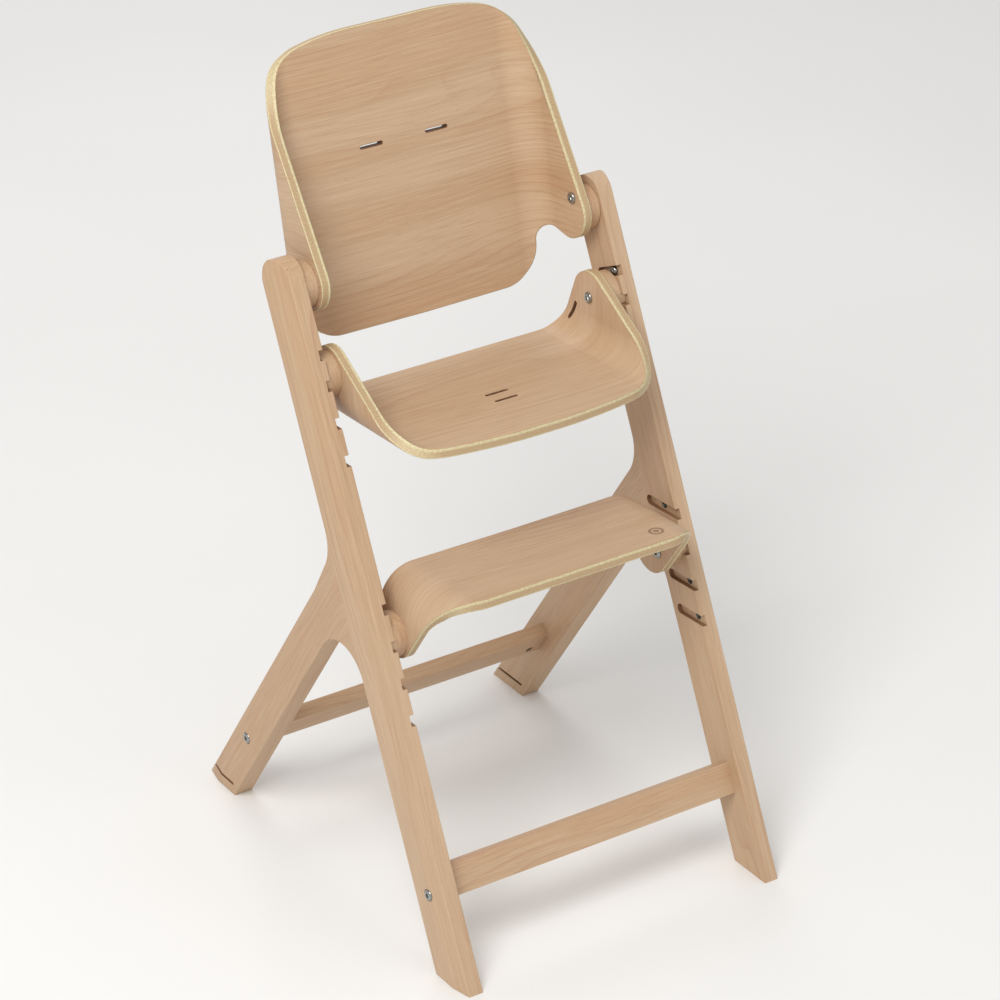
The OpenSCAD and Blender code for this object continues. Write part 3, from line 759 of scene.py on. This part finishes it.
def sheet_mesh(name, sheet, outline, holes, materials):
    """The bent sheet as a mesh, cut along its bend lines. Its edges are square to its faces,
    with a small rounding at each face. materials are for faces, edges and holes."""
    edge_r, hole_r = 1.3 * MM, 0.6 * MM
    far = 1.0
    creases = [(Vector((v, -far)), Vector((v, far))) for v in bend_lines(sheet)]
    borders = []
    for k, loop in enumerate([outline] + holes):
        loop = drop_repeats([Vector(p) * MM for p in loop])
        borders.append(add_crossings(offset(loop, -hole_r if k else -edge_r), creases))
    points, triangles, numbers = fill(borders, creases)

    shape, normals = Shape(), []
    up = -1 if sheet.outside else 1             # towards the middle of the U, from z = 0
    faces = []
    for layer, depth in enumerate((0.0, PLY_T)):
        spots = [sheet.place(p, depth) for p in points]
        faces.append(shape.add([spot[0] for spot in spots]))
        normals += [spot[2] * (up if layer == 0 else -up) for spot in spots]
        shift = 1.3 * layer                     # so the two faces don't show the same grain
        shape.cover(faces[layer], triangles, [(p.x + shift, p.y) for p in points])

    for k, loop in enumerate(borders):
        radius = hole_r if k else edge_r
        outward, run = miters(loop), lengths(loop)
        profile = [(math.sin(a) * radius, radius - math.cos(a) * radius, a) for a in ROUNDING[1:]]
        profile += [(out, PLY_T - depth, math.pi - a) for out, depth, a in reversed(profile)]
        rings, depths = [[faces[0][i] for i in numbers[k]]], [0.0]
        for out, depth, lean in profile:
            spots = [sheet.place(p + m * out, depth) for p, m in zip(loop, outward)]
            rings.append(shape.add([spot[0] for spot in spots]))
            depths.append(depth)
            for (_, along, inward), p, m in zip(spots, loop, outward):
                m = m.normalized()
                rim = along * (m.x if p.x >= 0 else -m.x) + Vector((0, m.y, 0))
                normals.append(inward * math.cos(lean) * up + rim * math.sin(lean))
        rings.append([faces[1][i] for i in numbers[k]])
        depths.append(PLY_T)
        for i in range(len(rings) - 1):
            kinds = [2 if k else 1] * len(loop)
            shape.band(rings[i], rings[i + 1], run, depths[i], depths[i + 1], kinds)
    mesh = shape.mesh(name, materials)
    if len(mesh.vertices) == len(normals):
        turn = sheet.move.to_3x3()
        mesh.normals_split_custom_set_from_vertices([(turn @ n).normalized() for n in normals])
    return link(name, mesh)


SEAT_HUB = (-16.1, 52.8)             # the disc's centre: along the bend line, over the flat
BACK_HUB = (-12.5, 58.8)
FOOT_HUB = (18.4, 66.1)


def seat_outline(sheet):
    c, r = sheet.wing(SEAT_HUB), 32
    corner, rear = (149.5, -164), (153, 44.5)
    t1, t2 = touch(corner, c, r, 1), touch(rear, c, r, -1)
    return closed(rounded([(0, -181.5), (64, -181.5, 520), (*corner, 70), t1])
                  + ear(t1, t2, c, r, 1) + rounded([t2, (*rear, 60), (0, 44)]))


def back_outline(sheet):
    c, r = sheet.wing(BACK_HUB), 33
    corner, neck = (152.6, 230.8), (158.5, -26.5)
    t1, t2 = touch(corner, c, r, -1), touch(neck, c, r, 1)
    return closed(rounded([(0, 245.3), (86.6, 245.3, 320), (*corner, 60), t1])
                  + ear(t1, t2, c, r, -1)
                  + rounded([t2, (*neck, 18.9), (neck[0], -101, 46), (0, -102.5)]))


def foot_outline(sheet):
    c, r = sheet.wing(FOOT_HUB), 31
    corner, rear = (144, -90.5), (0, 47)
    t1, t2 = touch(corner, c, r, 1), touch(rear, c, r, -1)
    return closed(rounded([(0, corner[1]), (*corner, 60), t1])
                  + ear(t1, t2, c, r, 1) + [t2, Vector(rear)])


def bolt_place(sheet, node):
    """Flat place of the bolt hole that the node's axis runs through, in millimetres."""
    at = centre(node)
    local = sheet.move.inverted() @ Vector((0, at.y, at.z))
    return (sheet.wing_v - sheet.ref_r + local.z) / MM, local.y / MM


def shells():
    edge, slots = ply_edge_material("ply_edge"), dark_slot_material("slot_walls")
    back = Sheet(BACK_TILT, "right_backrest_disc", BACK_HUB, BEND_R)
    seat = Sheet(SEAT_TILT, "right_seat_disc", SEAT_HUB, BEND_R)
    foot = Sheet(FOOT_TILT, "right_footrest_disc", FOOT_HUB, FOOT_BEND_R, outside=True)
    strap_turn = math.radians(-24)
    pieces = (
        ("backrest", back, back_outline(back),
         veneer_material("backrest_veneer", (0.9, 0.98, 0.15)),
         [slot(side * 44, 107.4, 30, 4) for side in (-1, 1)]),
        ("seat", seat, seat_outline(seat),
         veneer_material("seat_veneer", (2.7, 1.1, 0.4)),
         [slot(0, u, 30, 3.6) for u in (-76.5, -96.5)]
         + [slot(side * 185, 16, 26, 4.5, side * strap_turn) for side in (-1, 1)]),
        ("footrest", foot, foot_outline(foot),
         veneer_material("footrest_veneer", (5.1, 2.6, 0.8), mark=(0.124, -0.063)), []))
    for name, sheet, outline, veneer, holes in pieces:
        v, u = bolt_place(sheet, f"right_{name}_bolt")
        holes = holes + [round_hole(side * v, u, BOLT_R / MM + 0.1) for side in (-1, 1)]
        shell = sheet_mesh(f"{name}_ply", sheet, outline, holes, (veneer, edge, slots))
        stand_in(shell, name, f"{name}_shell")


# ---- Turned metal parts ----
def lathe(rings, place, axis, segments=48):
    """Vertices and faces of rings [(radius, height)] about an axis, closed at both ends; a
    ring with a third value is a hexagon of that circumscribed radius."""
    z = Vector(axis)
    x = z.orthogonal().normalized()
    y = z.cross(x)
    sector = math.pi / 6
    vertices, faces = [], []
    for radius, height, *hexagon in rings:
        for i in range(segments):
            angle = 2 * math.pi * i / segments
            out = x * math.cos(angle) + y * math.sin(angle)
            if hexagon:
                out *= math.cos(sector) / math.cos(angle % (2 * sector) - sector)
            vertices.append(place + z * height + out * radius)
    last = (len(rings) - 1) * segments
    for a in range(0, last, segments):
        for i in range(segments):
            j = (i + 1) % segments
            faces.append((a + i, a + j, a + j + segments, a + i + segments))
    return vertices, faces + [range(segments)[::-1], range(last, last + segments)]


def metal_piece(name, parts, body, node, material):
    mesh = bpy.data.meshes.new(name)
    vertices, faces = [], []
    for part_vertices, part_faces in parts:
        first = len(vertices)
        vertices += part_vertices
        faces += [tuple(first + i for i in f) for f in part_faces]
    mesh.from_pydata(vertices, [], faces)
    mesh.materials.append(material)
    smooth(mesh, math.radians(38))
    stand_in(link(name, mesh), body, node)


def thread(radius, start, end):
    """Profile of a threaded stretch, as one groove per millimetre."""
    depth = 0.45 * MM
    count = int(abs(end - start) / MM)
    step = (end - start) / count
    profile = []
    for i in range(count):
        z = start + i * step
        profile += [(radius, z), (radius, z + 0.2 * step), (radius - depth, z + 0.55 * step),
                    (radius, z + 0.95 * step)]
    return profile


def dome(crown, radius, height, rim, steps):
    """The rounded top of a head, from the edge of its flat crown out to its rim."""
    angles = [math.pi / 2 * i / steps for i in range(steps + 1)]
    return [(crown + (radius - crown) * math.sin(a), -height + (height - rim) * (1 - math.cos(a)))
            for a in angles]


def bolt_rings(length):
    """Button-head bolt with a hexagon socket: its head stands below height 0."""
    key, crown, tip = 2.9 * MM, 3.6 * MM, length - 1.0 * MM
    rings = [(0.3 * MM, -0.2 * MM), (key * 0.93, -0.5 * MM, 6), (key, -0.7 * MM, 6),
             (key, -HEAD_H + 0.35 * MM, 6), (key + 0.25 * MM, -HEAD_H + 0.02 * MM)]
    rings += dome(crown, HEAD_R, HEAD_H, 0.6 * MM, 8)
    rings += [(HEAD_R, -0.25 * MM), (HEAD_R - 0.25 * MM, 0.0), (BOLT_R, 0.0)]
    rings += thread(BOLT_R, max(length - 14 * MM, length * 0.35), tip)
    return rings + [(BOLT_R, tip), (BOLT_R - 0.9 * MM, length)]


def stop_rings(length):
    """The stop screw, with a taller, narrower head than the bolts."""
    head_r, key, crown = 5.7 * MM, 2.4 * MM, 3 * MM
    rings = [(0.3 * MM, -1.0 * MM), (key * 0.93, -1.5 * MM, 6), (key, -1.7 * MM, 6),
             (key, -STOP_H + 0.3 * MM, 6), (key + 0.2 * MM, -STOP_H)]
    rings += dome(crown, head_r, STOP_H, 0.5 * MM, 7)
    rings += [(head_r, -0.2 * MM), (head_r - 0.2 * MM, 0.0), (BOLT_R, 0.0)]
    return rings + thread(BOLT_R, 0.5 * MM, length - 0.5 * MM) + [(BOLT_R - 0.5 * MM, length)]


def reach(node):
    """How far from the middle of the chair a node begins and ends."""
    low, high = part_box(node)
    return sorted((abs(low.x), abs(high.x)))


def turned(rings, node, x, outwards):
    """A lathe shape on a node's axis from x, outwards (1) or to the chair's middle (-1)."""
    at = centre(node)
    return lathe(rings, Vector((x, at.y, at.z)), (math.copysign(1, x) * outwards, 0, 0))


def bolts(steel):
    def outward(name, body, node, sign, rings_for, head_h):
        start, end = reach(node)
        screw = turned(rings_for(end - start - head_h), node, sign * (start + head_h), 1)
        metal_piece(name, [screw], body, node, steel)

    for name, body in (("backrest", "frame"), ("seat", "seat"), ("footrest", "footrest")):
        for side, sign in SIDES.items():
            outward(f"{side}_{name}_screw", body, f"{side}_{name}_bolt", sign, bolt_rings, HEAD_H)
    base = INNER_X + (BOARD_T - HEAD_SEAT) * MM
    rings = bolt_rings(base - (INNER_X - BAR_BOLT_REACH * MM))
    for name in ("front", "rear"):
        node = f"{name}_crossbar_bolts"
        parts = [turned(rings, node, sign * base, -1) for sign in SIDES.values()]
        metal_piece(f"{name}_crossbar_screws", parts, "frame", node, steel)
    for side, sign in SIDES.items():
        outward(f"{side}_stop_button", "frame", f"{side}_stop_screw", sign, stop_rings, STOP_H)


def loose_boxes(node):
    """Lowest and highest corner of each separate solid of a CAD node, from the bottom up."""
    bm = bmesh.new()
    bm.from_mesh(frame["nodes"][node].data)
    bmesh.ops.remove_doubles(bm, verts=bm.verts, dist=1e-6)
    todo, result = set(bm.verts), []
    while todo:
        group, front = set(), [todo.pop()]
        while front:
            vertex = front.pop()
            group.add(vertex)
            for e in vertex.link_edges:
                other = e.other_vert(vertex)
                if other in todo:
                    todo.remove(other)
                    front.append(other)
        xs, ys, zs = zip(*(v.co for v in group))
        result.append((Vector((min(xs), min(ys), min(zs))), Vector((max(xs), max(ys), max(zs)))))
    bm.free()
    return sorted(result, key=lambda box: box[0].z)


def insert_rings(length, outer_r):
    """Threaded insert: its flange face is at height 0 and its closed end at -length."""
    bore = BOLT_R + 0.05 * MM
    rings = [(0.4 * MM, -length + 0.8 * MM), (bore, -length + 1.0 * MM)]
    rings += [(r + 0.45 * MM, z) for r, z in thread(bore, -length + 1.5 * MM, -0.9 * MM)]
    rings += [(bore, -0.8 * MM), (bore + 0.5 * MM, -0.1 * MM), (bore + 0.7 * MM, 0.0),
              (outer_r - 0.3 * MM, 0.0), (outer_r, -0.3 * MM), (outer_r, -length + 0.4 * MM),
              (outer_r - 0.4 * MM, -length)]
    return rings


INSERTS = ("seat_inserts", "footrest_inserts", "backrest_insert")


def inserts(steel):
    for side, sign in SIDES.items():
        for name in INSERTS:
            node = f"{side}_{name}"
            parts = []
            for low, high in loose_boxes(node):
                at = (low + high) / 2
                mouth = min(abs(low.x), abs(high.x))
                length = abs(high.x - low.x)
                rings = insert_rings(length, (high.z - low.z) / 2)
                parts.append(lathe(rings, Vector((sign * mouth, at.y, at.z)), (-sign, 0, 0), 36))
            metal_piece(f"{node}_turned", parts, "frame", node, steel)


# ---- Side frames ----
# Side-view points are (y, z) in millimetres, with y counted back from the front legs' toes.
REAR_TOE = Vector((FOOT_DEPTH - REAR_W / math.cos(REAR_LEAN), 0))
REAR_HEEL = Vector((FOOT_DEPTH, 0))


def on_leg(w, s):
    return FRONT_BACK * w + FRONT_UP * s


def meet(p, a, q, b):
    return p + a * (cross(q - p, b) / cross(a, b))


def fillet(p, a, b):
    """Rounds the inside corner p, from the tangent point in direction a to the one in b."""
    half = math.acos(a.dot(b)) / 2
    middle = p + (a + b).normalized() * FILLET_R / math.sin(half)
    reach = FILLET_R / math.tan(half)
    first, last = direction(p + a * reach - middle), direction(p + b * reach - middle)
    swing = (last - first + math.pi) % (2 * math.pi) - math.pi
    return arc(middle, FILLET_R, first, first + swing, 24)


def groove(s, length, angle):
    """Path round a groove, in from its upper edge on the front of the leg and out again."""
    start, along, across = on_leg(0, s), polar(angle), polar(angle + math.pi / 2)
    half = GROOVE_H / 2
    reach = -half * across.dot(FRONT_BACK) / along.dot(FRONT_BACK)
    upper = start + across * half + along * reach
    lower = start - across * half - along * reach
    end = start + along * (length - half)
    return [upper] + arc(end, half, angle + math.pi / 2, angle - math.pi / 2, 20) + [lower]


def kerf():
    """Path round the saw slot in the rear foot, in from its lower edge."""
    middle = Vector((REAR_TOE.x - KERF_Z * math.tan(REAR_LEAN) + KERF_WALL + KERF_H / 2, KERF_Z))
    half = KERF_H / 2
    low, high = [Vector((FOOT_DEPTH - z * math.tan(REAR_LEAN), z))
                 for z in (KERF_Z - half, KERF_Z + half)]
    return [low] + arc(middle, half, -math.pi / 2, -3 * math.pi / 2, 12) + [high]


def grooves():
    """Paths of the grooves, from the top down."""
    paths = [groove(STOP_GROOVE, 42, -FRONT_LEAN)]
    for base, long_ones in ((UPPER_GROOVE, (2, 1, 0)), (LOWER_GROOVE, (3, 2, 1, 0))):
        for i in long_ones:
            length = 49 if base == LOWER_GROOVE and i < 3 else 59
            paths.append(groove(base + i * GROOVE_PITCH, length, -GROOVE_FALL))
    return paths


def frame_outline(front):
    """Side view of a side frame, counter-clockwise, with front as points down its front edge."""
    crotch = meet(on_leg(FRONT_W, 0), FRONT_UP, REAR_TOE, REAR_UP)
    notch = meet(on_leg(FRONT_W, 0), FRONT_UP, REAR_HEEL, REAR_UP)
    top = on_leg(FRONT_W / 2, FRONT_L - FRONT_W / 2)
    loop = [Vector((0, 0)), Vector((FRONT_W / math.cos(FRONT_LEAN), 0))]
    mouth = kerf()
    loop += fillet(crotch, -FRONT_UP, -REAR_UP) + [REAR_TOE, REAR_HEEL, mouth[0] - 3 * REAR_UP]
    loop += mouth + [mouth[-1] + 3 * REAR_UP]
    loop += fillet(notch, -REAR_UP, FRONT_UP)
    loop += arc(top, FRONT_W / 2, -FRONT_LEAN, math.pi - FRONT_LEAN, 40)
    return loop + front


def bevels():
    """Lines along which the outer face bends, and its depth in from the face at a point."""
    notch = meet(on_leg(FRONT_W, 0), FRONT_UP, REAR_HEEL, REAR_UP)
    half = math.acos(-FRONT_UP.dot(REAR_UP)) / 2
    end = (notch - REAR_HEEL).length - FILLET_R / math.tan(half)

    def rear(w, s):
        return REAR_HEEL - REAR_BACK * w + REAR_UP * s

    def drop(p):
        front = BEVEL_DROP * (1 - p.dot(FRONT_BACK) / FRONT_BEVEL)
        w, s = -(p - REAR_HEEL).dot(REAR_BACK), (p - REAR_HEEL).dot(REAR_UP)
        back = min(BEVEL_DROP * (1 - w / REAR_BEVEL), (end - s) / BEVEL_RUN)
        return max(front, back, 0)

    corner = rear(REAR_BEVEL, end)
    lines = [(on_leg(FRONT_BEVEL, -60), on_leg(FRONT_BEVEL, FRONT_L + 10)),
             (rear(REAR_BEVEL, -60), corner), (rear(-1, end), corner),
             (rear(-1, end - BEVEL_DROP * BEVEL_RUN * (1 + 1 / REAR_BEVEL)), corner)]
    return lines, drop


def frame_mesh(name, side, holes, materials):
    """A side frame as one mesh; side is 1 for the right and -1 for the left. holes has
    (place, radius, x of its mouth, depth) of each blind hole. materials are for the board and
    for the walls of its grooves and saw slot; the second is darkened as painted shade."""
    shape = Shape()
    edge_r, groove_r, kerf_r, hole_r = 1.5, 0.7, 0.35, 0.3
    inner = INNER_X / MM
    floor, outer = inner + GROOVE_D, inner + BOARD_T
    paths = grooves()
    creases, drop = bevels()
    kerf_area = offset(kerf()[::-1], 0.8)
    cut_areas = [offset(path[::-1], 0.2) for path in [kerf()] + paths]

    def outer_at(p):
        return outer - drop(p)

    def inner_at(p):
        return inner

    def rounding(p, usual):
        return kerf_r if inside(p, kerf_area) else usual

    def shrunk(loop, radius):
        return [p - m * rounding(p, radius) for p, m in zip(loop, miters(loop))]

    def world(p, x):
        return Vector((side * x * MM, TOES_Y + p.x * MM, p.y * MM))

    def face(borders, lines, x_at):
        """Covers the area in the first border and outside the others. Returns each border
        with the numbers of its vertices."""
        borders = [add_crossings([p * MM for p in loop], lines) for loop in borders]
        points, triangles, numbers = fill(borders, lines)
        points = [p / MM for p in points]
        vertices = shape.add([world(p, x_at(p)) for p in points])
        shape.cover(vertices, triangles, points)
        return [([p / MM for p in loop], [vertices[i] for i in number])
                for loop, number in zip(borders, numbers)]

    def wall(border, radius, x_at, x_end, cuts=()):
        """Rounds the edge of a face, and goes on square to it as far as x_end. Inside the areas
        cuts, the wall is a cut one, with the darkened material that paints their shade."""
        loop, ring = border
        outward, run = miters(loop), lengths(loop)
        radii = [rounding(p, radius) for p in loop]
        ends = [p + m * r for p, m, r in zip(loop, outward, radii)]
        kinds = [int(any(inside((p + q) / 2, cut) for cut in cuts))
                 for p, q in zip(ends, ends[1:] + ends[:1])]
        inwards = 1 if x_end > x_at(loop[0]) else -1
        for angle in ROUNDING[1:]:
            lower = shape.add([
                world(p + m * r * math.sin(angle), x_at(p) + inwards * r * (1 - math.cos(angle)))
                for p, m, r in zip(loop, outward, radii)])
            shape.band(ring, lower, run, 0, 0, kinds if angle > 1 else [0] * len(loop))
            ring = lower
        lower = shape.add([world(q, x_end) for q in ends])
        shape.band(ring, lower, run, 0, 0, kinds)
        return ends, lower

    def drilled_face(level, area, border, lines, x_at):
        """Covers the area in a border with the holes whose mouths lie in it at x = level."""
        own = [h for h in holes if abs(h[2] - level) < 0.1 and inside(h[0], area)]
        rounds = [round_hole(*h[0], h[1] + hole_r, 32) for h in own]
        border, *mouths = face([border] + rounds, lines, x_at)
        for hole, mouth in zip(own, mouths):
            _, ring = wall(mouth, hole_r, x_at, hole[2] + hole[3])
            shape.faces.append(ring)
            shape.places.append([(0, 0)] * len(ring))
            shape.kinds.append(0)
        return border

    # the outer part, from the bevelled outer face to the level of the grooves' floors
    loop = frame_outline([p for path in paths for p in (path[0], path[-1])])
    creases = [(a * MM, b * MM) for a, b in creases]
    border = drilled_face(outer, loop, shrunk(loop, edge_r), creases, outer_at)
    full, _ = wall(border, edge_r, outer_at, floor, cut_areas[:1])

    # the inner part, with the grooves let into its outline
    notched = []
    for p in full:
        notched.append(p)
        notched += [q for path in paths if (p - path[0]).length < 0.01 for q in path[1:-1]]
    border = drilled_face(inner, notched, shrunk(notched, groove_r), [], inner_at)
    wall(border, groove_r, inner_at, floor, cut_areas)

    # the floors of the grooves
    for path in paths:
        drilled_face(floor, path, path[::-1], [], lambda p: floor)
    return link(name, shape.mesh(name, materials))


def drilled_holes(side):
    """The blind holes of a side frame and the seats of its bolts' heads: (place, radius, x of
    its mouth, depth), in millimetres."""
    def side_view(at):
        return Vector((at.y - TOES_Y, at.z)) / MM

    head_gap, clear = 0.4, 0.02
    found = [(side_view(centre(f"{bar}_crossbar_bolts")), HEAD_R / MM + head_gap,
              INNER_X / MM + BOARD_T, -HEAD_SEAT) for bar in ("front", "rear")]
    for node in INSERTS:
        for low, high in loose_boxes(f"{side}_{node}"):
            mouth, end = sorted((abs(low.x), abs(high.x)))
            found.append((side_view((low + high) / 2), (high.z - low.z) / 2 / MM + clear,
                          mouth / MM, (end - mouth) / MM + clear))
    return found


# ---- Wooden CAD nodes ----
def boards():
    for i, (side, sign) in enumerate(SIDES.items()):
        shift = (0.4 + 1.9 * i, 0.31 - 0.6 * i, 0.2)
        # the second material is the first darkened, as painted shade in the grooves and saw slot
        materials = (side_frame_material(f"{side}_frame_beech", shift),
                     side_frame_material(f"{side}_frame_cut_shade", shift, CUT_SHADE_TINT))
        obj = frame_mesh(f"{side}_frame_board", sign, drilled_holes(side), materials)
        weigh = obj.modifiers.new("weigh", "WEIGHTED_NORMAL")
        weigh.keep_sharp = True
        stand_in(obj, "frame", f"{side}_side_frame")
    for i, (name, up) in enumerate((("front", FRONT_UP), ("rear", REAR_UP))):
        node = f"{name}_crossbar"
        bar = board_material(f"{node}_beech", (1, 0, 0), in_space(up), (2.3 + i, 0.7 * i, 0.4))
        soften(node, bar, 1.4 * MM)
        dowel = board_material(f"{name}_dowel_beech", (1, 0, 0), (0, 1, 0), (4.0 + i, 0.2, 0.9))
        soften(f"{node}_dowels", dowel, 0.5 * MM, 2)


def discs():
    for i, name in enumerate(("backrest", "seat", "footrest")):
        for j, side in enumerate(SIDES):
            node = f"{side}_{name}_disc"
            shift = (1.1 * i + 0.5 * j, 0.3 * i, 0.8 + 0.2 * j)
            soften(node, board_material(f"{node}_beech", (0, 0.35, 1), (1, 0, 0), shift), 1.5 * MM)
            if name != "backrest":
                node = f"{side}_{name}_tongue"
                wood = board_material(f"{node}_beech", (0, 1, 0), (0, 0, 1), shift)
                soften(node, wood, 0.6 * MM, 2)
        node = f"{name}_disc_dowels"
        wood = board_material(f"{node}_beech", (1, 0, 0), (0, 1, 0), (0.2 * i, 3.1, 0.4))
        soften(node, wood, 0.4 * MM, 2)


def nuts(steel):
    for name in ("front", "rear"):
        soften(f"{name}_barrel_nuts", steel, 0.5 * MM, 2)


camera()
studio()
boards()
discs()
shells()
polished = steel_material("polished_steel", (0.36, 0.37, 0.36, 1), 0.16)
plated = steel_material("plated_steel", (0.10, 0.11, 0.105, 1), 0.22)
bolts(polished)
inserts(plated)
nuts(plated)
